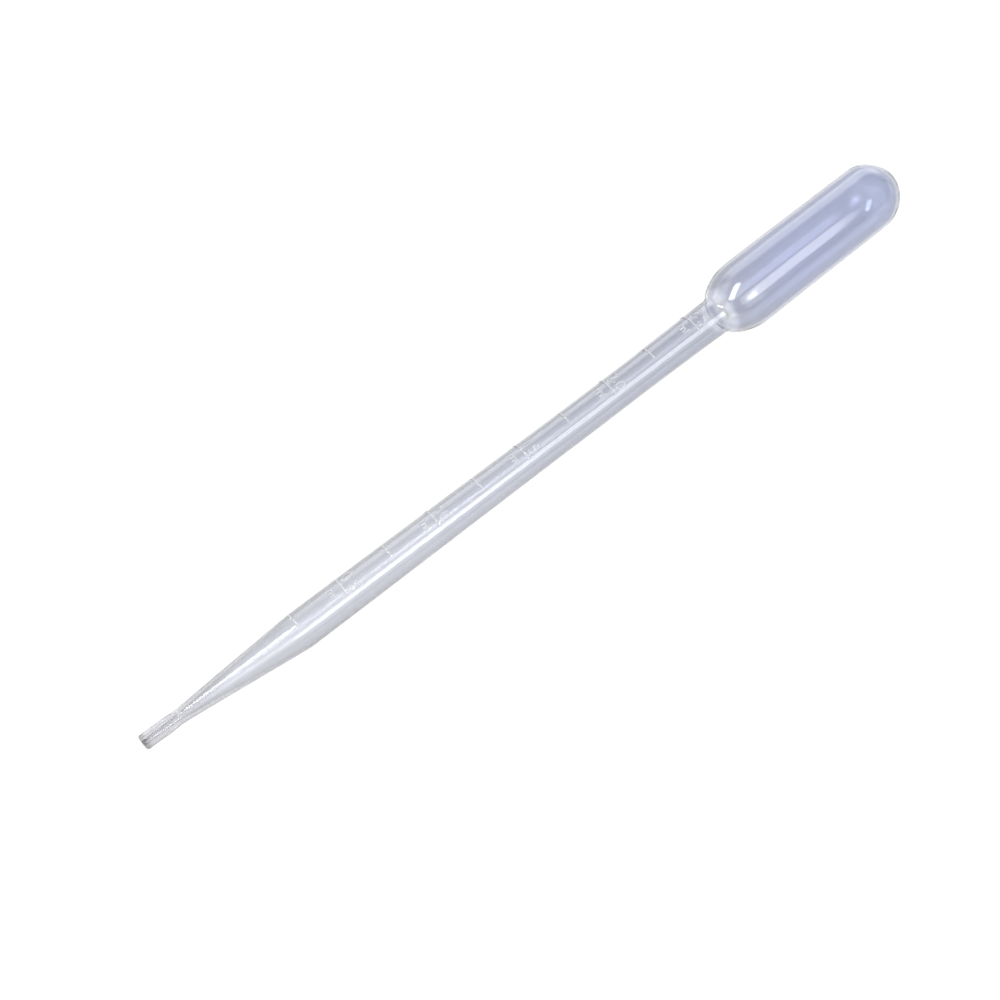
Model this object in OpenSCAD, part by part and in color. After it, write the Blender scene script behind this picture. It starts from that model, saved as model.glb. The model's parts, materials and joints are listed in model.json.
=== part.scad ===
// Plastic dropper pipette: one hollow piece of soft polyethylene, blown in one mould.
// It lies on its side, as it comes to rest, on the shoulder of its stem and on its bulb.
// Its axis runs along X with the tip at -X, and the origin is the middle of its footprint.

/* [Nozzle] */
// Length of the straight part of the nozzle, from its mouth
nozzle_straight = 5; // [3:0.1:10]
// Outside diameter of the straight part
nozzle_d = 2.7; // [2.4:0.05:4]
// Length over which the nozzle narrows to its waist
waist_length = 1.6; // [0.8:0.1:4]
// Outside diameter at the waist, where the taper starts
waist_d = 2.4; // [2:0.05:3.5]
// Diameter of the bore that the drops leave through
bore_d = 1.05; // [0.6:0.05:1.5]
// Rounding of the outer edge of the mouth
rim_radius = 0.45; // [0.1:0.05:0.6]
// Rounding of the inner edge of the mouth
lip_radius = 0.15; // [0.05:0.05:0.3]

/* [Stem] */
// Length of the taper from the waist up to the shoulder of the stem
taper_length = 22.7; // [12:0.1:50]
// Outside diameter of the stem from the shoulder on
stem_d = 6.35; // [5:0.05:8.5]
// Length of the stem that keeps this diameter
stem_straight = 5; // [1:0.1:50]
// Length over which the stem then narrows
stem_narrowing = 45; // [5:0.1:60]
// Outside diameter where the stem is slimmest
stem_slim_d = 6; // [5:0.05:8.5]
// Length of the stem that keeps this slimmer diameter
stem_slim_straight = 20; // [1:0.1:50]
// Length over which the stem widens again up to its neck
stem_widening = 18.3; // [5:0.1:60]
// Outside diameter of the neck, where the bulb starts
neck_d = 6.5; // [5:0.05:8.5]
// Thickness of the stem's wall
stem_wall = 0.2; // [0.15:0.05:0.8]

/* [Bulb] */
// Outside diameter of the bulb next to the stem
bulb_d = 12.1; // [10:0.1:20]
// Outside diameter of the bulb next to its closed end
bulb_end_d = 11.9; // [10:0.1:20]
// Length of the straight part of the bulb
bulb_straight = 29; // [10:0.1:60]
// Half the length of the egg shape whose middle part is the bulb's curve by the stem
bulb_shoulder_reach = 8; // [4:0.1:14]
// Length of the rounded closed end
bulb_end_length = 5.9; // [3:0.1:12]
// Thickness of the bulb's wall
bulb_wall = 0.45; // [0.2:0.05:1.2]

/* [Graduations] */
// Distance between two graduations, which stands for a quarter of a millilitre
mark_pitch = 9.2; // [5:0.05:20]
// Graduations in the mould, as far as the stem has room for them
mark_count = 10; // [2:1:12]
// Distance from the shoulder to the first graduation
first_mark = 0.2; // [0.2:0.1:6]
// How far round the stem a graduation with a number goes, in degrees
long_mark_angle = 100; // [60:5:180]
// How far round the stem a graduation without one goes, in degrees
short_mark_angle = 65; // [30:5:120]
// How far round from the top the graduations are centred, in degrees
mark_turn = 25; // [0:1:90]
// Height of a graduation above the wall
mark_height = 0.12; // [0.05:0.01:0.3]
// Width of a graduation along the stem
mark_width = 0.35; // [0.2:0.05:0.8]

/* [Hidden] */
$fn = 96;
dome_steps = 14;
rim_steps = 5;
// How far a graduation goes into the wall that it stands on
mark_root = stem_wall / 2;
// Bare stem left between the last graduation and the neck
neck_clearance = 2;

bore_r = bore_d / 2;
nozzle_r = nozzle_d / 2;
rim = min(rim_radius, (nozzle_d - bore_d) / 2 * 0.7);
lip = min(lip_radius, (nozzle_d - bore_d) / 2 * 0.2);
neck_r = neck_d / 2;
bulb_r = bulb_d / 2;

// Places along the axis, from the mouth
waist_x = nozzle_straight + waist_length;
shoulder_x = waist_x + taper_length;
slim_x = shoulder_x + stem_straight + stem_narrowing;
widening_x = slim_x + stem_slim_straight;
neck_x = widening_x + stem_widening;
bulb_x = neck_x + bulb_shoulder_reach * sqrt(1 - pow(neck_r / bulb_r, 2));
bulb_end_x = bulb_x + bulb_straight;
mark_places = [
    for (i = [0:mark_count - 1])
        let (x = shoulder_x + first_mark + i * mark_pitch)
        if (x < neck_x - neck_clearance) x
];

// Outside radius along the stem
stem_line = [
    [shoulder_x, stem_d / 2],
    [shoulder_x + stem_straight, stem_d / 2],
    [slim_x, stem_slim_d / 2],
    [widening_x, stem_slim_d / 2],
    [neck_x, neck_r]
];

// Points of an ellipse round [x, 0] with half axes a and b, from one angle to another
function curve(x, a, b, from, to, steps) = [
    for (i = [0:steps])
        let (t = from + (to - from) * i / steps)
        [x + a * cos(t), b * sin(t)]
];

// A line of points moved by some distance towards the axis
function inward(line, wall) = [for (p = line) p - [0, wall]];

// The bulb's side from where its curve has radius start_r to its closed end,
// at a depth below the outside
function bulb_line(depth, start_r) = concat(
    curve(bulb_x, bulb_shoulder_reach - depth, bulb_r - depth,
        180 - asin(start_r / (bulb_r - depth)), 90, dome_steps),
    curve(bulb_end_x, bulb_end_length - depth, bulb_end_d / 2 - depth, 90, 0, dome_steps)
);

function reversed(line) = [for (i = [len(line) - 1:-1:0]) line[i]];

rim_line = [
    for (i = [0:rim_steps])
        let (t = 90 * i / rim_steps)
        [rim * (1 - sin(t)), nozzle_r - rim * (1 - cos(t))]
];
lip_line = [
    for (i = [0:rim_steps])
        let (t = 90 * i / rim_steps)
        [lip * (1 - cos(t)), bore_r + lip * (1 - sin(t))]
];
outer_line = concat(
    reversed(rim_line),
    [[nozzle_straight, nozzle_r], [waist_x, waist_d / 2]],
    [for (i = [0:len(stem_line) - 2]) stem_line[i]],
    bulb_line(0, neck_r)
);
inner_line = concat(
    lip_line,
    [[waist_x, bore_r]],
    [for (i = [0:len(stem_line) - 2]) inward(stem_line, stem_wall)[i]],
    bulb_line(bulb_wall, neck_r - stem_wall)
);

// It lies on the line that touches both its shoulder and its bulb
rest_tilt = max([
    for (p = bulb_line(0, neck_r)) atan2(p[1] - stem_d / 2, p[0] - shoulder_x)
]);
rest_height = -min([for (p = outer_line) p[0] * sin(rest_tilt) - p[1] * cos(rest_tilt)]);
tip_reach = min([for (p = outer_line) p[0] * cos(rest_tilt) - p[1] * sin(rest_tilt)]);
bulb_reach = max([for (p = outer_line) p[0] * cos(rest_tilt) + p[1] * sin(rest_tilt)]);

// The hollow piece itself, standing on its mouth: the lines give [along, radius]
module blown_wall() {
    rotate_extrude()
        polygon([for (p = concat(outer_line, reversed(inner_line))) [p[1], p[0]]]);
}

// One raised line of a given angle round the stem, its middle towards X
module graduation(x, angle) {
    translate([0, 0, x - mark_width / 2])
        rotate([0, 0, -angle / 2])
            rotate_extrude(angle = angle)
                translate([lookup(x, stem_line) - mark_root, 0])
                    square([mark_root + mark_height, mark_width]);
}

// All the raised lines, every second one long
module graduations() {
    for (i = [0:len(mark_places) - 1])
        graduation(mark_places[i], i % 2 == 1 ? long_mark_angle : short_mark_angle);
}

module lying_down() {
    translate([-(tip_reach + bulb_reach) / 2, 0, rest_height])
        rotate([0, 90 - rest_tilt, 0])
            children();
}

module pipette() {
    color([0.74, 0.77, 0.88, 0.6])
        lying_down()
            rotate([0, 0, 180 - mark_turn])
                union() {
                    blown_wall();
                    graduations();
                }
}

pipette();
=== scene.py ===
# %% [markdown]
# # A plastic dropper pipette
# A dropper pipette is one hollow piece of soft, clear polyethylene. It is blown in a mould of two
# halves: a thin tube for the stem, drawn out to a nozzle at one end and swollen into a bulb at the
# other. The graduations and numbers are cut into the mould, so they stand proud of the stem.
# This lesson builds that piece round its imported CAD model: first the camera and the studio, then
# the finish, then the wall as a turned outline, the raised marks, and last the two welded in one.

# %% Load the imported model
import json
import math

import bmesh
import bpy
import numpy as np
from mathutils import Matrix, Vector


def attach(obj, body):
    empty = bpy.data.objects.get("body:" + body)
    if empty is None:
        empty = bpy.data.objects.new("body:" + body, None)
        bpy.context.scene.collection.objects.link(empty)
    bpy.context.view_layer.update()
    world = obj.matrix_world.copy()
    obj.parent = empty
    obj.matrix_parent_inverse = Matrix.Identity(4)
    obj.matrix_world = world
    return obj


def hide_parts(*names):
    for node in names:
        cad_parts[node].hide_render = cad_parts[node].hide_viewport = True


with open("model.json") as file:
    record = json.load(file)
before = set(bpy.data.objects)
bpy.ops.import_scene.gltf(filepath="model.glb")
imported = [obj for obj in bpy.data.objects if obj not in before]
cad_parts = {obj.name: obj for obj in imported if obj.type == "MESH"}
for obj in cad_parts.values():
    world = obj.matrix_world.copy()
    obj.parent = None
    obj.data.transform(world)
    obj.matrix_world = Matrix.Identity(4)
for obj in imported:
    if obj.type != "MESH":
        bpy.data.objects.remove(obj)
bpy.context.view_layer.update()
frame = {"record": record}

# %% [markdown]
# The pipette lies on its side, tilted a little because its bulb is fatter than its stem. The record
# says where the bore of the nozzle is and which way it points, and that gives the axis of the whole
# piece. The bore starts behind the rounded lip of the mouth. Everything is then made in millimetres
# along a level axis that starts at the mouth, which keeps the numbers easy to read, and this one
# matrix lays it down on the floor in metres.

# %% Find the axis of the piece
MM = 0.001
LIP = 0.15
mounts = {mount["name"]: mount for mount in frame["record"]["mounts"]}
bore = mounts["nozzle_bore"]
to_bulb = -Vector(bore["axis"]).normalized()
mouth = Vector(bore["pos_m"]) - to_bulb * (bore["dims"]["length_mm"] / 2 + LIP) * MM
sideways = Vector((0, 1, 0))
upwards = to_bulb.cross(sideways)
lay_down = Matrix.Translation(mouth) @ Matrix((to_bulb, sideways, upwards)).transposed().to_4x4()
lay_down = lay_down @ Matrix.Scale(MM, 4)
print("mouth at", tuple(round(v, 5) for v in mouth), "axis", tuple(round(v, 5) for v in to_bulb))

# %% [markdown]
# The camera looks down on the pipette from the side of its nozzle, close enough for perspective to
# enlarge that end a little. A direction given as azimuth and elevation is easy to change, and the
# camera is then moved back along it from the point that it looks at.

# %% Camera
LOOK_AT = Vector((-0.01146, -0.00265, 0.0035))
LOOK_FROM = (-39.089, 66.926)
LOOK_DISTANCE = 0.26049
LENS = 57.451


def direction(azimuth, elevation):
    """The direction in which something stands, seen from the pipette, for angles in degrees."""
    a, e = math.radians(azimuth), math.radians(elevation)
    return Vector((math.sin(a) * math.cos(e), -math.cos(a) * math.cos(e), math.sin(e)))


def link(thing):
    """Puts a new object in the scene."""
    bpy.context.scene.collection.objects.link(thing)
    return thing


def stand(thing, place, look_at):
    """Puts a camera or a lamp at a place and turns it to what it looks at."""
    thing.location = place
    thing.rotation_mode = "QUATERNION"
    thing.rotation_quaternion = (look_at - place).to_track_quat("-Z", "Y")


camera = link(bpy.data.objects.new("camera", bpy.data.cameras.new("camera")))
camera.data.lens = LENS
camera.data.sensor_width = 36
camera.data.clip_start = 0.01
back = direction(*LOOK_FROM)
stand(camera, LOOK_AT + back * LOOK_DISTANCE, LOOK_AT)
bpy.context.scene.camera = camera
bpy.context.scene.view_settings.view_transform = "Standard"
print("camera at", tuple(round(v, 4) for v in camera.location))

# %% [markdown]
# Node trees, for materials and for geometry, are all built the same way: make a node, set what it
# does, and wire its sockets. One helper does that, so each tree below reads as a short list, and
# three more stand for the nodes that are used most.


# %% Helpers for node trees
def node(tree, kind, settings=None, **wires):
    """A new node. A wire is a socket or a value, for the input of that name or number."""
    made = tree.nodes.new(kind)
    for name, value in (settings or {}).items():
        setattr(made, name, value)
    for name, wire in wires.items():
        wanted = name.replace("_", " ").lower()
        sockets = [s for s in made.inputs if s.enabled and s.name.lower() == wanted]
        socket = made.inputs[int(name[1:])] if name[1:].isdigit() else sockets[0]
        if isinstance(wire, bpy.types.NodeSocket):
            tree.links.new(wire, socket)
        else:
            socket.default_value = wire
    return made


def maths(tree, operation, a, b=0.0, c=0.0, clamp=False):
    """The output of a Math node."""
    settings = {"operation": operation, "use_clamp": clamp}
    return node(tree, "ShaderNodeMath", settings, i0=a, i1=b, i2=c).outputs[0]


def smooth_step(tree, value, start, end):
    """0 at the start and 1 at the end, with a soft change between."""
    settings = {"interpolation_type": "SMOOTHSTEP"}
    return node(tree, "ShaderNodeMapRange", settings, value=value, i1=start, i2=end).outputs[0]


def dot_product(tree, a, b):
    """How far one direction reaches along another."""
    return node(tree, "ShaderNodeVectorMath", {"operation": "DOT_PRODUCT"}, i0=a, i1=b).outputs["Value"]


# %% [markdown]
# ## The studio
# The floor is white wherever the camera, a reflection or a ray through the plastic meets it. It
# keeps a diffuse part there, so that the pipette still has its soft shadow, and the diffuse part
# and the glow add up to white where nothing stands in the way of the light. To all other rays the
# floor is a plain pale surface, which lights the pipette from below no more than paper would.

# %% Floor
FLOOR_GLOW = 0.84
FLOOR_WHITE = 0.28


def seen_directly(tree):
    """1 for rays from the camera, from a reflection or through glass, 0 for others."""
    path = node(tree, "ShaderNodeLightPath").outputs
    seen = maths(tree, "MAXIMUM", path["Is Camera Ray"], path["Is Glossy Ray"])
    return maths(tree, "MAXIMUM", seen, path["Is Transmission Ray"])


def blank_material(name):
    """A material with only its output node, and that node."""
    material = bpy.data.materials.new(name)
    material.use_nodes = True
    material.node_tree.nodes.clear()
    return material, material.node_tree, node(material.node_tree, "ShaderNodeOutputMaterial")


floor_paint, tree, output = blank_material("white_floor")
paint = node(tree, "ShaderNodeBsdfDiffuse", color=(FLOOR_WHITE,) * 3 + (1,)).outputs[0]
glow = node(tree, "ShaderNodeEmission", color=(FLOOR_GLOW,) * 3 + (1,)).outputs[0]
lit = node(tree, "ShaderNodeAddShader", i0=paint, i1=glow).outputs[0]
pale = node(tree, "ShaderNodeBsdfDiffuse", color=(0.75, 0.75, 0.78, 1)).outputs[0]
mixed = node(tree, "ShaderNodeMixShader", i0=seen_directly(tree), i1=pale, i2=lit).outputs[0]
tree.links.new(mixed, output.inputs["Surface"])

FLOOR_SIDE = 6.0
corners = [(x * FLOOR_SIDE / 2, y * FLOOR_SIDE / 2, 0) for x, y in ((-1, -1), (1, -1), (1, 1), (-1, 1))]
floor_mesh = bpy.data.meshes.new("floor")
floor_mesh.from_pydata(corners, [], [(0, 1, 2, 3)])
floor_mesh.materials.append(floor_paint)
floor = link(bpy.data.objects.new("floor", floor_mesh))
print("floor of", FLOOR_SIDE, "m")

# %% [markdown]
# The sky lights the pipette evenly at a plain grey level. In reflections it is the studio instead:
# dim overhead, white near the horizon, and with bright soft windows. A tall pale one stands behind
# the pipette, and a narrow slanting one makes the glints on both domes. The gaps between them give
# the domes their dark patches. A window is easiest to place round the axis of the pipette, because
# a tube spreads its reflection out along that axis.

# %% Directions round the axis
facing = (back - to_bulb * back.dot(to_bulb)).normalized()
beside = to_bulb.cross(facing)


def around(angle, rise):
    """A direction round the axis. 0 degrees is on the camera's side, and more is towards -Y.

    rise is how far it leans towards the bulb's end, in degrees.
    """
    turn, lift = math.radians(angle), math.radians(rise)
    outwards = facing * math.cos(turn) + beside * math.sin(turn)
    return outwards * math.cos(lift) + to_bulb * math.sin(lift)


print("side that faces the camera:", tuple(round(v, 3) for v in facing))

# %% Sky
SKY_LIGHT = 0.55
DIM_CEILING = 0.15
WINDOWS = {  # the two ends, each as an angle round the axis and a rise, then half width, rim and glow
    "tall_window": ((-74, -46), (-84, -24), 16, 18, 1.8),
    "far_window": ((-86, 8), (-92, 56), 9, 14, 2.1),
    "slanting_strip": ((-38, -5), (-17, -36), 5, 4.5, 12.5),
    "wide_lamp": ((14, 5), (42, 5), 13, 14, 1.6),
    "round_lamp": ((18, 3), (24, 3), 5, 8, 7.0),
    "end_window": ((30, -62), (30, -78), 14, 22, 2.6),
    "low_window": ((95, -34), (95, -52), 12, 18, 2.2),
    "pale_end": ((0, 85), (180, 85), 20, 25, 0.8),
}
world = bpy.data.worlds.new("sky")
bpy.context.scene.world = world
world.use_nodes = True
tree = world.node_tree
tree.nodes.clear()
heading = node(tree, "ShaderNodeTexCoord").outputs["Generated"]
height = node(tree, "ShaderNodeSeparateXYZ", vector=heading).outputs[2]
studio = maths(tree, "MULTIPLY_ADD", smooth_step(tree, height, 0.35, 0.1), 1 - DIM_CEILING, DIM_CEILING)
for one_end, other_end, half_width, rim, glow in WINDOWS.values():
    a, b = around(*one_end), around(*other_end)
    middle, lengthwise = (a + b).normalized(), (b - a).normalized()
    wide, soft = math.sin(math.radians(half_width)), math.sin(math.radians(rim))
    pane = glow
    for way, reach in ((lengthwise, (b - a).length / 2), (middle.cross(lengthwise), wide)):
        off = maths(tree, "ABSOLUTE", dot_product(tree, heading, way))
        pane = maths(tree, "MULTIPLY", smooth_step(tree, off, reach + soft, reach), pane)
    in_front = maths(tree, "GREATER_THAN", dot_product(tree, heading, middle), 0.0)
    studio = maths(tree, "MULTIPLY_ADD", in_front, pane, studio)
path = node(tree, "ShaderNodeLightPath").outputs
bent = maths(tree, "MAXIMUM", path["Is Glossy Ray"], path["Is Transmission Ray"])
plain = maths(tree, "MULTIPLY_ADD", path["Is Camera Ray"], 1 - SKY_LIGHT, SKY_LIGHT)
plain_sky = node(tree, "ShaderNodeBackground", color=(1, 1, 1, 1), strength=plain).outputs[0]
studio_sky = node(tree, "ShaderNodeBackground", color=(1, 1, 1, 1), strength=studio).outputs[0]
sky = node(tree, "ShaderNodeMixShader", i0=bent, i1=plain_sky, i2=studio_sky).outputs[0]
tree.links.new(sky, node(tree, "ShaderNodeOutputWorld").inputs["Surface"])
print(len(WINDOWS), "windows in the sky")

# %% [markdown]
# Two long lamps hang along the pipette, a little towards the near side, and their reflection is the
# bright streak along the stem and bulb. A third lamp stands at the tall window, whose reflection is
# in the sky already, so that the raised scale catches light from there.

# %% Lamps
LAMPS_FACE = mouth + to_bulb * 0.12


def soft_lamp(name, angle, rise, distance, width, length, glow, mirrored=True):
    """A rectangular lamp that faces the bulb's shoulder, with its long side along the axis.

    angle and rise say where it stands, and glow is how bright it looks, white being 1. A lamp that
    is not mirrored only lights things and has no reflection.
    """
    way = around(angle, rise)
    lamp = link(bpy.data.objects.new(name, bpy.data.lights.new(name, "AREA")))
    lamp.data.shape = "RECTANGLE"
    lamp.data.size, lamp.data.size_y = length, width
    lamp.data.energy = glow * math.pi * length * width
    across = way.cross(to_bulb).normalized()
    turned = Matrix((across.cross(way), -across, way)).transposed().to_4x4()
    lamp.matrix_world = Matrix.Translation(LAMPS_FACE + way * distance) @ turned
    lamp.visible_camera = False
    lamp.visible_glossy = lamp.visible_transmission = mirrored


soft_lamp("long_softbox", 18, 4, 0.70, 0.36, 0.72, 1.65)
soft_lamp("bulb_softbox", 18, 16, 0.69, 0.30, 0.36, 1.75)
soft_lamp("side_softbox", -76, -10, 0.7, 0.5, 0.7, 1.4, mirrored=False)

# %% [markdown]
# ## The finish
# Natural polyethylene is clear but never quite glass: a trace of milkiness, a cool lavender cast,
# and a satin skin with the faint waviness of the blown wall. What varies on it follows the piece, so
# the materials use Object coordinates, turned to its axis and counted in millimetres from the mouth.
# Nothing then slides when the view changes.

# %% Coordinates, noise and colours along the piece


def axis_coordinates(tree):
    """Object coordinates turned to the axis of the piece and given in millimetres from the mouth."""
    spot = node(tree, "ShaderNodeTexCoord").outputs["Object"]
    settings = {"vector_type": "TEXTURE"}
    mapping = node(tree, "ShaderNodeMapping", settings, vector=spot, scale=(MM,) * 3)
    mapping.inputs["Location"].default_value = mouth
    mapping.inputs["Rotation"].default_value = lay_down.to_quaternion().to_euler()
    return mapping.outputs[0]


def noise(tree, place, stretch, scale, detail=2.0):
    """Noise between 0 and 1, stretched along the axes of the piece."""
    mapping = node(tree, "ShaderNodeMapping", {"vector_type": "POINT"}, vector=place, scale=stretch)
    made = node(tree, "ShaderNodeTexNoise", vector=mapping.outputs[0], scale=scale, detail=detail)
    return made.outputs[0]


def ramp(tree, factor, *stops):
    """Colours that change with a factor. A stop is a position and a colour."""
    made = node(tree, "ShaderNodeValToRGB", fac=factor)
    while len(made.color_ramp.elements) < len(stops):
        made.color_ramp.elements.new(1.0)
    for element, (position, colour) in zip(made.color_ramp.elements, stops):
        element.position = position
        element.color = (*colour, 1)
    return made.outputs[0]


def from_to(tree, along, places, values):
    """A value that changes evenly between two places along the piece."""
    wires = {"i1": places[0], "i2": places[1], "i3": values[0], "i4": values[1]}
    return node(tree, "ShaderNodeMapRange", value=along, **wires).outputs[0]


# %% [markdown]
# The Principled shader with Transmission bends light through both skins of the wall. Its colour,
# roughness and bump vary a little with noise. The tint gets deeper where the wall turns away, because
# light takes a longer way through the plastic there, most of all in the thick nozzle. The colour also
# has painted shade at the cut end of the nozzle, a darker rim round the mouth, and painted light round
# the neck, a paler tint for the bright ring that the corner shows there. The skin is more satin
# towards the nozzle.

# %% Polyethylene
POLYETHYLENE_IOR = 1.51
RIPPLE_DEPTH = 0.04 * MM
LENGTH = 159.248
CLOUD_REACH = 10.0
NOZZLE_FADES, SATIN_FADES = (6, 24), (15, 95)
# Painted shade at the rim of the mouth: where it fades out, and how much darker it makes the tint.
PAINTED_RIM_REACH, PAINTED_RIM_SHADE = (1.4, 0.4), 0.35
# Painted light round the neck: where it sits, how far it reaches, and how much paler the tint gets.
PAINTED_NECK_X, PAINTED_NECK_REACH, PAINTED_NECK_LIGHT = 117.9, (1.8, 0.5), 0.45


def polyethylene(name, clearness, stops, rough, edges):
    """Soft clear plastic. stops are its colours from the mouth to the end of the bulb.

    rough and edges each have two values, for the nozzle and for the bulb: how satin the skin is,
    and how much deeper the tint gets at an edge.
    """
    material, tree, output = blank_material(name)
    place = axis_coordinates(tree)
    along = node(tree, "ShaderNodeSeparateXYZ", vector=place).outputs[0]
    cloud = noise(tree, place, (0.3, 1, 1), 0.35)
    drift = maths(tree, "MULTIPLY_ADD", cloud, CLOUD_REACH, maths(tree, "SUBTRACT", along, CLOUD_REACH / 2))
    tint = ramp(tree, maths(tree, "DIVIDE", drift, LENGTH), *stops)
    turned_away = node(tree, "ShaderNodeLayerWeight", blend=0.5).outputs["Facing"]
    thick = from_to(tree, along, NOZZLE_FADES, edges)
    tint_depth_and_painted_light = maths(tree, "SUBTRACT", 1.0, maths(tree, "MULTIPLY", turned_away, thick))
    # Painted shade: the tint darkens towards the rim of the mouth.
    rim_shade_mask = smooth_step(tree, along, *PAINTED_RIM_REACH)
    tint_depth_and_painted_light = maths(tree, "MULTIPLY", tint_depth_and_painted_light, maths(tree, "MULTIPLY_ADD", rim_shade_mask, -PAINTED_RIM_SHADE, 1.0))
    # Painted light: the tint gets paler round the neck, for the bright ring that its corner shows.
    from_neck = maths(tree, "ABSOLUTE", maths(tree, "SUBTRACT", along, PAINTED_NECK_X))
    neck_light_mask = smooth_step(tree, from_neck, *PAINTED_NECK_REACH)
    tint_depth_and_painted_light = maths(tree, "MULTIPLY", tint_depth_and_painted_light, maths(tree, "MULTIPLY_ADD", neck_light_mask, PAINTED_NECK_LIGHT, 1.0))
    colour = node(tree, "ShaderNodeVectorMath", {"operation": "SCALE"}, vector=tint, scale=tint_depth_and_painted_light).outputs[0]
    grain = noise(tree, place, (0.25, 1, 1), 2.4, 3.0)
    satin = from_to(tree, along, SATIN_FADES, rough)
    roughness = maths(tree, "MULTIPLY", maths(tree, "ADD", grain, 0.5), satin)
    ripple = noise(tree, place, (0.12, 1, 1), 1.1, 3.0)
    bump = node(tree, "ShaderNodeBump", strength=0.2, distance=RIPPLE_DEPTH, height=ripple).outputs[0]
    shader = node(tree, "ShaderNodeBsdfPrincipled", base_color=colour, roughness=roughness, normal=bump)
    shader.inputs["IOR"].default_value = POLYETHYLENE_IOR
    shader.inputs["Transmission Weight"].default_value = clearness
    tree.links.new(shader.outputs[0], output.inputs["Surface"])
    return material


# %% [markdown]
# The wall is greyish in the thick nozzle, palest in the lower stem, and deepens to lavender in the
# thicker bulb. The raised scale is a little milkier and paler, because its ridges scatter the light.

# %% Two finishes
wall_stops = (
    (0.0, (0.70, 0.70, 0.73)),
    (0.12, (0.855, 0.865, 0.905)),
    (0.32, (0.825, 0.835, 0.88)),
    (0.55, (0.755, 0.77, 0.825)),
    (0.76, (0.72, 0.735, 0.80)),
    (0.82, (0.72, 0.75, 0.875)),
    (0.93, (0.72, 0.75, 0.875)),
    (1.0, (0.68, 0.72, 0.84)),
)
wall_finish = polyethylene("clear_polyethylene", 0.99, wall_stops, (0.2, 0.04), (0.68, 0.45))
mark_stops = ((0.0, (0.95, 0.95, 0.97)), (1.0, (0.93, 0.94, 0.97)))
mark_finish = polyethylene("raised_polyethylene", 0.64, mark_stops, (0.25, 0.25), (0.0, 0.0))
print("finishes:", wall_finish.name, mark_finish.name)

# %% [markdown]
# ## The wall
# A blown wall is a turned shape, so one outline says all of it: up the outside from the closed end
# of the bulb to the mouth, round the rim, and back along the inside. The sizes are the CAD
# model's, except that the neck lies 0.2 mm further from the mouth and the closed end is a little
# more pointed. The two radii of the nozzle come with the model, because other things fit there.

# %% Sizes in millimetres from the mouth
NOZZLE_R, BORE_R = mounts["nozzle_outside"]["dims"]["r_mm"], bore["dims"]["r_mm"]
RIM = 0.45
NOZZLE_X, WAIST_X, SHOULDER_X, NECK_X = 5.0, 6.6, 29.3, 117.8
STEM_PLACES = (WAIST_X, SHOULDER_X, SHOULDER_X + 5, 79.3, 99.3, NECK_X)
STEM_RADII = (1.2, 3.175, 3.175, 3.0, 3.0, 3.25)
BULB_R, BULB_END_R = 6.05, 5.95
SHOULDER_REACH, END_REACH, END_ROUNDNESS = 8.0, 5.9, 1.82
BULB_X = NECK_X + SHOULDER_REACH * math.sqrt(1 - (STEM_RADII[-1] / BULB_R) ** 2)
BULB_END_X = LENGTH - END_REACH
WALL_PLACES = (0, NOZZLE_X, WAIST_X, SHOULDER_X, NECK_X - 4, NECK_X + 5, BULB_END_X, LENGTH)
WALL_SIZES = (0.825, 0.825, 0.675, 0.2, 0.2, 0.45, 0.45, 0.55)
print(f"stem to {NECK_X}, bulb from {BULB_X:.3f} to {BULB_END_X:.3f}, end at {LENGTH}")

# %% [markdown]
# A line is an array of points, each a place along the axis and a radius. The mould rounds its
# corners off: a line is softened by taking points at a small even distance, and then the weighted
# mean of each point and its neighbours. After that it is thinned, so that points stay close together
# only where the line bends.

# %% Lines for an outline
FINE_STEP = 0.05


def ellipse(x, a, b, start, end, steps, power=2.0):
    """Points [along, radius] of an ellipse round [x, 0], more pointed with a power under 2."""
    turns = np.radians(np.linspace(start, end, steps + 1))
    c, s = np.cos(turns), np.sin(turns)
    return np.stack([x + a * np.sign(c) * abs(c) ** (2 / power), b * abs(s) ** (2 / power)], 1)


def spaced(points, step):
    """The same line with points at an even distance."""
    legs = np.linalg.norm(np.diff(points, axis=0), axis=1)
    run = np.concatenate([[0], np.cumsum(legs)])
    at = np.linspace(0, run[-1], max(2, round(run[-1] / step) + 1))
    return np.stack([np.interp(at, run, points[:, i]) for i in (0, 1)], 1)


def softened(points, reach):
    """An evenly spaced line with its corners rounded over a reach, its ends kept."""
    fine = spaced(points, FINE_STEP)
    half = round(reach / FINE_STEP)
    kernel = np.hanning(2 * half + 3)[1:-1]
    kernel /= kernel.sum()
    padded = np.concatenate([2 * fine[:1] - fine[half:0:-1], fine, 2 * fine[-1:] - fine[-2:-half - 2:-1]])
    return np.stack([np.convolve(padded[:, i], kernel, "valid") for i in (0, 1)], 1)


def thinned(points, gentle, tight):
    """Points that lie close together where the line bends and further apart where it runs straight."""
    kept, last = [points[0]], 0
    for i in range(1, len(points) - 1):
        gone = np.linalg.norm(points[i] - points[last])
        a, b = points[i] - points[last], points[i + 1] - points[i]
        bend = abs(math.atan2(a[0] * b[1] - a[1] * b[0], a @ b))
        if gone >= gentle or (gone >= tight and bend > 0.03):
            kept.append(points[i])
            last = i
    return np.array(kept + [points[-1]])


# %% [markdown]
# The outside is the line of the stem and two half ellipses for the ends of the bulb. The inside lies
# parallel to it, at a depth that changes slowly along the piece: thick round the bore of the nozzle,
# very thin in the stem, and thicker again in the bulb. The rim and the lip of the mouth join the two.

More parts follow.
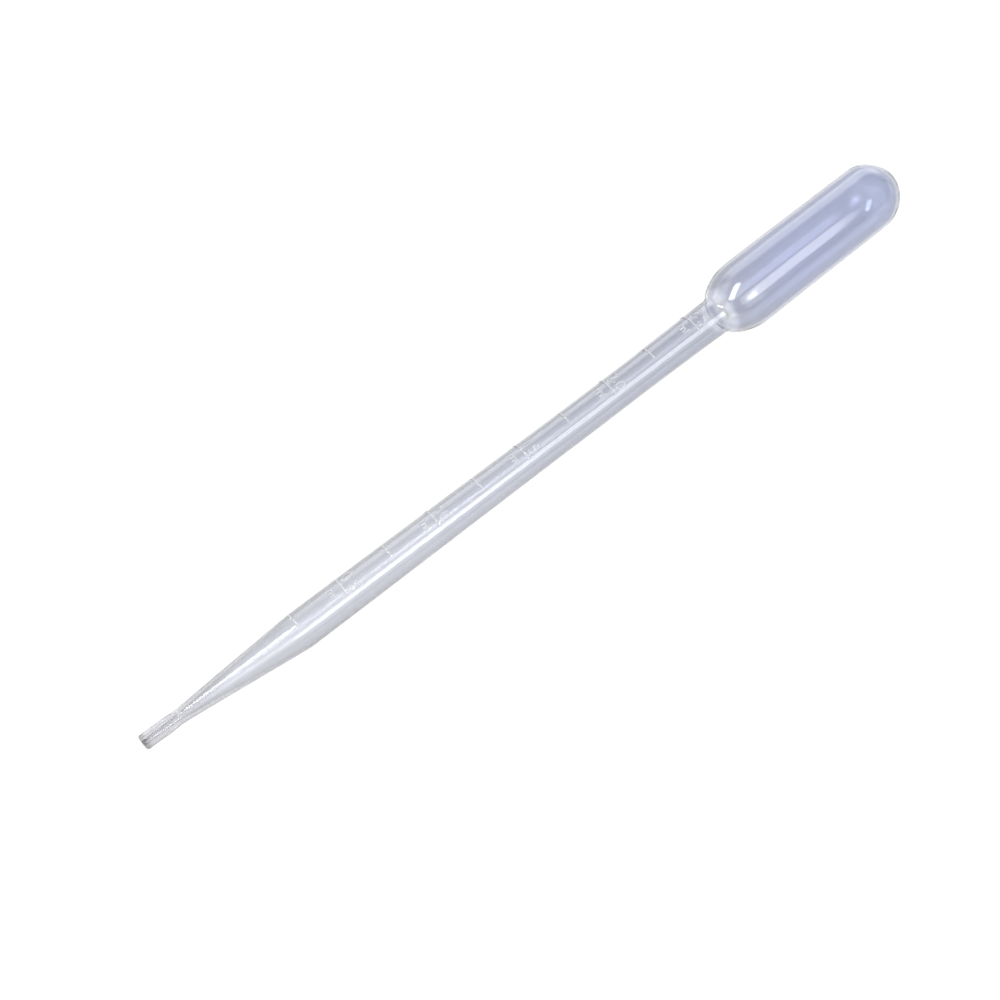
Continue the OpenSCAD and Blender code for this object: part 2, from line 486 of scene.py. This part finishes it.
# %% Draw the outline
STEM_SOFTNESS, NECK_SOFTNESS = 0.8, 1.1
FAR_APART, CLOSE = 1.0, 0.12
stem_line = np.array([(RIM, NOZZLE_R), (NOZZLE_X, NOZZLE_R), *zip(STEM_PLACES, STEM_RADII)])
start = 180 - math.degrees(math.asin(STEM_RADII[-1] / BULB_R))
near_dome = ellipse(BULB_X, SHOULDER_REACH, BULB_R, start, 90, 60)
far_dome = ellipse(BULB_END_X, END_REACH, BULB_END_R, 90, 0, 60, power=END_ROUNDNESS)
stem_skin = softened(stem_line, STEM_SOFTNESS)[:-1]
skin = softened(np.concatenate([stem_skin, near_dome, far_dome]), NECK_SOFTNESS)

slope = np.gradient(skin, axis=0)
slope /= np.linalg.norm(slope, axis=1)[:, None]
inwards = np.stack([slope[:, 1], -slope[:, 0]], 1)
lining = skin + inwards * np.interp(skin[:, 0], WALL_PLACES, WALL_SIZES)[:, None]
lining[-1, 1] = 0

outer, inner = thinned(skin, FAR_APART, CLOSE), thinned(lining, FAR_APART, CLOSE)
rim = ellipse(RIM, -RIM, RIM, 90, 0, 8)[:-1] + [0, NOZZLE_R - RIM]
lip = ellipse(LIP, -LIP, LIP, 0, 90, 4) * [1, -1] + [0, BORE_R + LIP]
outside = np.concatenate([outer[::-1], rim[1:], [[0, NOZZLE_R - RIM]]])
outline = np.concatenate([outside, lip, inner])
print(len(outline), "points, length", outline[:, 0].min(), outline[:, 0].max())

# %% [markdown]
# A Geometry Nodes tree turns the outline round the axis. It makes a flat grid with one row for
# each point of the outline, and moves each grid point to its place round the axis. Merging by
# distance closes the seam and the two poles. The named inputs set how many facets go round, how
# uneven the blown wall is, and how high the parting line of the mould stands.


# %% The tree that turns an outline into a wall
def new_tree(name, **inputs):
    """A geometry tree with a mesh going in and out, and further named inputs."""
    tree = bpy.data.node_groups.new(name, "GeometryNodeTree")
    tree.is_modifier = True
    kinds = {int: "NodeSocketInt", float: "NodeSocketFloat", bpy.types.Material: "NodeSocketMaterial"}
    tree.interface.new_socket("Geometry", in_out="INPUT", socket_type="NodeSocketGeometry")
    tree.interface.new_socket("Geometry", in_out="OUTPUT", socket_type="NodeSocketGeometry")
    for label, value in inputs.items():
        kind = kinds[type(value)]
        made = tree.interface.new_socket(label.replace("_", " "), in_out="INPUT", socket_type=kind)
        if not isinstance(value, bpy.types.Material):
            made.default_value = value
    return tree, node(tree, "NodeGroupInput").outputs, node(tree, "NodeGroupOutput")


def run_tree(thing, tree, **values):
    """Runs a tree on an object with the given inputs and keeps the result as a plain mesh."""
    modifier = thing.modifiers.new(tree.name, "NODES")
    modifier.node_group = tree
    for item in tree.interface.items_tree:
        if item.in_out == "INPUT" and item.name.replace(" ", "_") in values:
            modifier[item.identifier] = values[item.name.replace(" ", "_")]
    return settle(thing)


def settle(thing):
    """Turns an object with modifiers into a plain mesh."""
    graph = bpy.context.evaluated_depsgraph_get()
    made = bpy.data.meshes.new_from_object(thing.evaluated_get(graph))
    thing.modifiers.clear()
    old, thing.data = thing.data, made
    bpy.data.meshes.remove(old)
    return thing


FACETS, PARTING_FACET = 120, 38
PARTING_TURN = math.tau * PARTING_FACET / FACETS
wall_sizes = {"Facets": FACETS, "Unevenness": 0.0025, "Parting_line": 0.015, "Parting_facet": PARTING_FACET}
wall_sizes |= {"Finish": wall_finish}
wall_tree, given, result = new_tree("turned_wall", **wall_sizes)
tree = wall_tree
rows = node(tree, "GeometryNodeAttributeDomainSize", geometry=given[0]).outputs[0]
round_count = maths(tree, "ADD", given["Facets"], 1)
grid = node(tree, "GeometryNodeMeshGrid", vertices_x=rows, vertices_y=round_count).outputs[0]
number = node(tree, "GeometryNodeInputIndex").outputs[0]
row = maths(tree, "FLOOR", maths(tree, "DIVIDE", maths(tree, "ADD", number, 0.5), round_count))
facet = maths(tree, "SUBTRACT", number, maths(tree, "MULTIPLY", row, round_count))
spot = node(tree, "GeometryNodeInputPosition").outputs[0]
settings = {"data_type": "FLOAT_VECTOR"}
picked = node(tree, "GeometryNodeSampleIndex", settings, geometry=given[0], value=spot, index=row)
along, is_outer, radius = node(tree, "ShaderNodeSeparateXYZ", vector=picked.outputs[0]).outputs

angle = maths(tree, "MULTIPLY", maths(tree, "DIVIDE", facet, given["Facets"]), math.tau)
sine, cosine = maths(tree, "SINE", angle), maths(tree, "COSINE", angle)
slow = node(tree, "ShaderNodeCombineXYZ", x=maths(tree, "DIVIDE", along, 16), y=sine, z=cosine).outputs[0]
wave = node(tree, "ShaderNodeTexNoise", vector=slow, scale=1.0, detail=1.0).outputs[0]
swell = maths(tree, "MULTIPLY", maths(tree, "SUBTRACT", wave, 0.5), given["Unevenness"])
half_turn = maths(tree, "DIVIDE", given["Facets"], 2)
from_line = maths(tree, "MODULO", maths(tree, "SUBTRACT", facet, given["Parting facet"]), half_turn)
on_line = maths(tree, "COMPARE", from_line, 0.0, 0.1)
gentle = maths(tree, "MULTIPLY", maths(tree, "DIVIDE", radius, 3, clamp=True), is_outer)
line = maths(tree, "MULTIPLY", maths(tree, "MULTIPLY", on_line, gentle), given["Parting line"])
reach = maths(tree, "ADD", maths(tree, "MULTIPLY_ADD", radius, swell, radius), line)
across, up = maths(tree, "MULTIPLY", reach, sine), maths(tree, "MULTIPLY", reach, cosine)
turned = node(tree, "ShaderNodeCombineXYZ", x=along, y=across, z=up).outputs[0]
placed = node(tree, "GeometryNodeSetPosition", geometry=grid, position=turned).outputs[0]
closed = node(tree, "GeometryNodeMergeByDistance", geometry=placed, distance=0.0005).outputs[0]
real = node(tree, "GeometryNodeRealizeInstances", geometry=closed).outputs[0]
smooth = node(tree, "GeometryNodeSetShadeSmooth", geometry=real, shade_smooth=True).outputs[0]
coated = node(tree, "GeometryNodeSetMaterial", geometry=smooth, material=given["Finish"]).outputs[0]
tree.links.new(coated, result.inputs[0])

# %% Turn the wall


def line_object(name, points, edges):
    """An object of points and edges only."""
    mesh = bpy.data.meshes.new(name)
    mesh.from_pydata(points, edges, [])
    return link(bpy.data.objects.new(name, mesh))


def face_outwards(thing):
    """Recalculates the normals of a closed mesh, and says in a few words how sound it is."""
    work = bmesh.new()
    work.from_mesh(thing.data)
    bmesh.ops.recalc_face_normals(work, faces=work.faces)
    open_edges = sum(1 for edge in work.edges if len(edge.link_faces) < 2)
    touching = sum(1 for edge in work.edges if len(edge.link_faces) > 2)
    state = f"{len(work.faces)} faces, {open_edges} open edges, {touching} where the skin touches itself"
    state += f", {work.calc_volume(signed=True):.1f} cubic millimetres"
    work.to_mesh(thing.data)
    work.free()
    return state


points = [(x, 1.0 if i < len(outside) else 0.0, r) for i, (x, r) in enumerate(outline)]
wall = line_object("dropper_pipette", points, [(i, i + 1) for i in range(len(points) - 1)])
run_tree(wall, wall_tree, **wall_sizes)
print("wall:", face_outwards(wall))

# %% [markdown]
# ## Graduations and numbers
# The mould maker cuts the scale with a round-nosed tool, so every line and number is a low rounded
# ridge. All of it is drawn flat first, as single strokes: across the stem to the right, along it
# upwards. A second tree gives each stroke its round body and wraps the drawing round the stem.

# %% Strokes of the scale
MARK_TURN, LETTER_TURN = 25.0, 11.0
FIRST_MARK, MARK_PITCH, MARK_COUNT = 29.5, 9.19, 10
LONG_MARK, SHORT_MARK = 100.0, 65.0
NUMBER_HEIGHT, NUMBER_RISE = 1.8, 0.75
UNIT_HEIGHT, UNIT_DROP = 1.4, 2.5
print(MARK_COUNT, "graduations, the last at", round(FIRST_MARK + (MARK_COUNT - 1) * MARK_PITCH, 2))

# %% [markdown]
# Each sign is a few strokes in a box of height 1. A smooth line through a handful of points is
# enough for the round parts, as if drawn with a pen.

# %% Signs


def curve_through(*points):
    """A smooth line through a few points (a Catmull-Rom spline)."""
    p = np.array([points[0], *points, points[-1]], float)
    out = []
    for a, b, c, d in zip(p, p[1:], p[2:], p[3:]):
        bend, twist = 2 * a - 5 * b + 4 * c - d, 3 * b - a - 3 * c + d
        for t in np.linspace(0, 1, 8, endpoint=False):
            out.append(0.5 * (2 * b + (c - a) * t + bend * t**2 + twist * t**3))
    return np.array(out + [p[-1]])


circle = [(0.5 + 0.5 * math.sin(t), 0.5 + 0.5 * math.cos(t)) for t in np.linspace(0, math.tau, 9)]
swan_neck = (0.04, 0.76), (0.22, 0.95), (0.55, 1), (0.9, 0.86), (0.92, 0.62), (0.55, 0.3), (0.02, 0.02)
belly = (0.08, 0.56), (0.45, 0.64), (0.85, 0.52), (0.98, 0.3), (0.8, 0.06), (0.4, 0), (0.02, 0.1)
arch = curve_through((0, 0.45), (0.2, 0.62), (0.42, 0.6), (0.5, 0.4), (0.5, 0))
second_arch = curve_through((0.5, 0.45), (0.7, 0.62), (0.92, 0.6), (1, 0.4), (1, 0))


def straight(*ends):
    """A straight line between two points."""
    return np.array(ends, float)


STROKES = {  # for each sign its width and its strokes, in a box of height 1
    "0": (0.58, [curve_through(*circle)]),
    "1": (0.3, [straight((0.75, 0), (0.75, 1)), straight((0, 0.76), (0.75, 1))]),
    "2": (0.56, [curve_through(*swan_neck), straight((0.02, 0), (1, 0))]),
    "5": (0.56, [straight((0.92, 1), (0.14, 1)), straight((0.14, 1), (0.08, 0.56)), curve_through(*belly)]),
    "m": (0.85, [straight((0, 0), (0, 0.62)), arch, second_arch]),
    "l": (0.08, [straight((0.5, 0), (0.5, 1))]),
}
GAP = 0.24
POINT_GAP = 0.30
print("signs:", " ".join(STROKES))

# %% [markdown]
# Every second graduation is long and has its volume above it and the unit below it. A graduation is
# given as an angle round the stem, so its length on the drawing follows the radius of the stem there.

# %% Draw the scale
LINE_THICK, LETTER_THICK, POINT_THICK = 1.1, 0.85, 1.3
VOLUME_STEP = 0.25


def write(text, height, base):
    """The strokes of a word, centred across, standing on a base line."""
    widths = [POINT_GAP * 0.5 if c == "." else STROKES[c][0] for c in text]
    start = -(sum(widths) + GAP * (len(text) - 1)) / 2
    made = []
    for c, width in zip(text, widths):
        if c == ".":
            middle = start + width / 2
            made.append((np.array([(middle, 0.17), (middle, 0.33)]), POINT_THICK))
        else:
            for points in STROKES[c][1]:
                made.append((points * [width, 1] + [start, 0], LETTER_THICK))
        start += width + GAP
    return [(points * height + [0, base], thick) for points, thick in made]


scale = []
for i in range(MARK_COUNT):
    x = FIRST_MARK + i * MARK_PITCH
    degree = math.radians(1) * np.interp(x, *skin.T)
    half = (LONG_MARK if i % 2 else SHORT_MARK) / 2 * degree
    scale.append((np.array([(-half, x), (half, x)]), LINE_THICK))
    if i % 2:
        letters = write(f"{(i + 1) * VOLUME_STEP:.1f}", NUMBER_HEIGHT, x + NUMBER_RISE)
        letters += write("ml", UNIT_HEIGHT, x - UNIT_DROP)
        scale += [(line + [(MARK_TURN - LETTER_TURN) * degree, 0], width) for line, width in letters]
print(len(scale), "strokes")

# %% [markdown]
# The tree makes each stroke a curve, sweeps a flattened circle along it, and rounds its ends by
# shrinking the circle there. Then it bends the flat drawing round the stem: the distance across
# becomes an angle, and the height above the drawing is added to the radius of the stem there.
# Where the mould pinched the soft tube shut, the end of the bulb keeps a short welded ridge on the
# parting line, and the tree adds it too.

# %% The tree that makes and wraps the ridges
PINCH_DEPTH, PINCH_SUNK = 0.6, 0.2
mark_sizes = {"Ridge_width": 0.32, "Ridge_height": 0.11, "Turn": math.radians(MARK_TURN), "Step": 0.12}
mark_sizes |= {"Pinch_length": 3.8, "Pinch_width": 0.5, "Finish": mark_finish}
tree, given, result = new_tree("raised_marks", **mark_sizes)
mark_tree = tree
lines = node(tree, "GeometryNodeMeshToCurve", mesh=given[0]).outputs[0]
settings = {"mode": "LENGTH"}
fine = node(tree, "GeometryNodeResampleCurve", settings, curve=lines, length=given["Step"]).outputs[0]
level = node(tree, "GeometryNodeSetCurveNormal", {"mode": "Z_UP"}, curve=fine).outputs[0]
thick = node(tree, "GeometryNodeInputNamedAttribute", {"data_type": "FLOAT"}, name="thick").outputs[0]
half_ridge = maths(tree, "DIVIDE", given["Ridge width"], 2)
half = maths(tree, "MULTIPLY", half_ridge, thick)
run = node(tree, "GeometryNodeSplineParameter").outputs["Length"]
whole = node(tree, "GeometryNodeSplineLength").outputs["Length"]
to_end = maths(tree, "MINIMUM", run, maths(tree, "SUBTRACT", whole, run))
missing = maths(tree, "SUBTRACT", 1.0, maths(tree, "DIVIDE", to_end, half, clamp=True))
rounded = maths(tree, "SQRT", maths(tree, "SUBTRACT", 1.0, maths(tree, "MULTIPLY", missing, missing)))
size = maths(tree, "MULTIPLY", maths(tree, "MAXIMUM", rounded, 0.25), thick)
ring = node(tree, "GeometryNodeCurvePrimitiveCircle", resolution=12, radius=1.0).outputs[0]
flat = node(tree, "ShaderNodeCombineXYZ", x=half_ridge, y=given["Ridge height"], z=1.0).outputs[0]
ring = node(tree, "GeometryNodeTransform", geometry=ring, scale=flat).outputs[0]
body = node(tree, "GeometryNodeCurveToMesh", curve=level, profile_curve=ring, scale=size, fill_caps=True)
spot = node(tree, "GeometryNodeInputPosition").outputs[0]
across, along, height = node(tree, "ShaderNodeSeparateXYZ", vector=spot).outputs
radius = node(tree, "GeometryNodeInputNamedAttribute", {"data_type": "FLOAT"}, name="ground").outputs[0]
angle = maths(tree, "SUBTRACT", given["Turn"], maths(tree, "DIVIDE", across, radius))
reach = maths(tree, "ADD", radius, height)
side, up = (maths(tree, "MULTIPLY", reach, maths(tree, f, angle)) for f in ("SINE", "COSINE"))
wrapped = node(tree, "ShaderNodeCombineXYZ", x=along, y=side, z=up).outputs[0]
placed = node(tree, "GeometryNodeSetPosition", geometry=body.outputs[0], position=wrapped).outputs[0]
ball = node(tree, "GeometryNodeMeshUVSphere", segments=32, rings=16, radius=0.5).outputs[0]
stretched = node(tree, "ShaderNodeCombineXYZ", x=PINCH_DEPTH, y=given["Pinch length"], z=given["Pinch width"])
tipped = (math.pi / 2 - PARTING_TURN, 0, 0)
placing = {"translation": (LENGTH - PINCH_SUNK, 0, 0), "rotation": tipped, "scale": stretched.outputs[0]}
pinch = node(tree, "GeometryNodeTransform", geometry=ball, **placing).outputs[0]
both = node(tree, "GeometryNodeJoinGeometry", geometry=placed)
tree.links.new(pinch, both.inputs[0])
real = node(tree, "GeometryNodeRealizeInstances", geometry=both.outputs[0]).outputs[0]
smooth = node(tree, "GeometryNodeSetShadeSmooth", geometry=real, shade_smooth=True).outputs[0]
coated = node(tree, "GeometryNodeSetMaterial", geometry=smooth, material=given["Finish"]).outputs[0]
tree.links.new(coated, result.inputs[0])

# %% Raise the scale
points, edges, thicks = [], [], []
for line, width in scale:
    start = len(points)
    points += [(a, x, 0.0) for a, x in line]
    edges += [(start + i, start + i + 1) for i in range(len(line) - 1)]
    thicks += [width] * len(line)
marks = line_object("raised_scale", points, edges)
grounds = np.interp([x for _, x, _ in points], *skin.T)
for name, values in (("thick", thicks), ("ground", grounds)):
    marks.data.attributes.new(name, "FLOAT", "POINT").data.foreach_set("value", values)
run_tree(marks, mark_tree, **mark_sizes)
print("scale:", face_outwards(marks))

# %% [markdown]
# ## One piece
# On the real pipette the scale is not stuck on: it is the wall itself, pressed out into the mould.
# A Boolean union joins the two, so light bends at one skin only, and the joint keeps its crease. Its
# material mode is Transfer, because by index the scale would get the first finish of the wall.

# %% Weld the scale to the wall
union = wall.modifiers.new("weld", "BOOLEAN")
union.operation, union.object, union.solver = "UNION", marks, "EXACT"
union.material_mode = "TRANSFER"
union.use_self = True
settle(wall)
bpy.data.objects.remove(marks)
print("welded:", face_outwards(wall))

# %% [markdown]
# A blown piece is never quite straight: it cools on one side first and bows a little. The bow is
# sideways only, so that the pipette still lies on its shoulder and its bulb. The closed end is also
# a little flatter on one flank. Both are added to the points of the mesh, and the matrix from the
# start then lays the piece down in metres.

# %% Bow it and lay it down
BOW_PLACES = (0, 14, 29, 60, 90, 118, 134, 152, 160)
BOW = (0.84, 0.48, -0.06, -0.15, -0.25, -0.13, 0.12, 0.3, 0.55)
FLANK_X, FLAT_FLANK = 155.6, 0.27
BOW_STEP, BOW_SOFTNESS = 0.25, 7
CREASE = 38
places = np.arange(-20, 180, BOW_STEP)
window = np.hanning(round(BOW_SOFTNESS / BOW_STEP))
beyond = (BOW[1] - BOW[0]) / BOW_PLACES[1]
bow = np.interp(places, BOW_PLACES, BOW) + np.minimum(places, 0) * beyond
bow = np.convolve(bow, window / window.sum(), "same")
spots = np.empty(len(wall.data.vertices) * 3)
wall.data.vertices.foreach_get("co", spots)
spots = spots.reshape(-1, 3)
flank = np.clip((spots[:, 0] - FLANK_X) / (LENGTH - FLANK_X), 0, 1)
spots[:, 1] -= np.maximum(spots[:, 1], 0) * flank * FLAT_FLANK
spots[:, 1] += np.interp(spots[:, 0], places, bow)
wall.data.vertices.foreach_set("co", spots.ravel())
wall.data.transform(lay_down)
wall.data.polygons.foreach_set("use_smooth", [True] * len(wall.data.polygons))
wall.data.set_sharp_from_angle(angle=math.radians(CREASE))
wall.data.update()
print("bow in millimetres:", {x: round(float(np.interp(x, places, bow)), 2) for x in (0, 80, LENGTH)})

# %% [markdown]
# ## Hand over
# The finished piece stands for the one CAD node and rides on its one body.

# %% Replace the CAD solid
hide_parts("pipette")
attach(wall, "root")
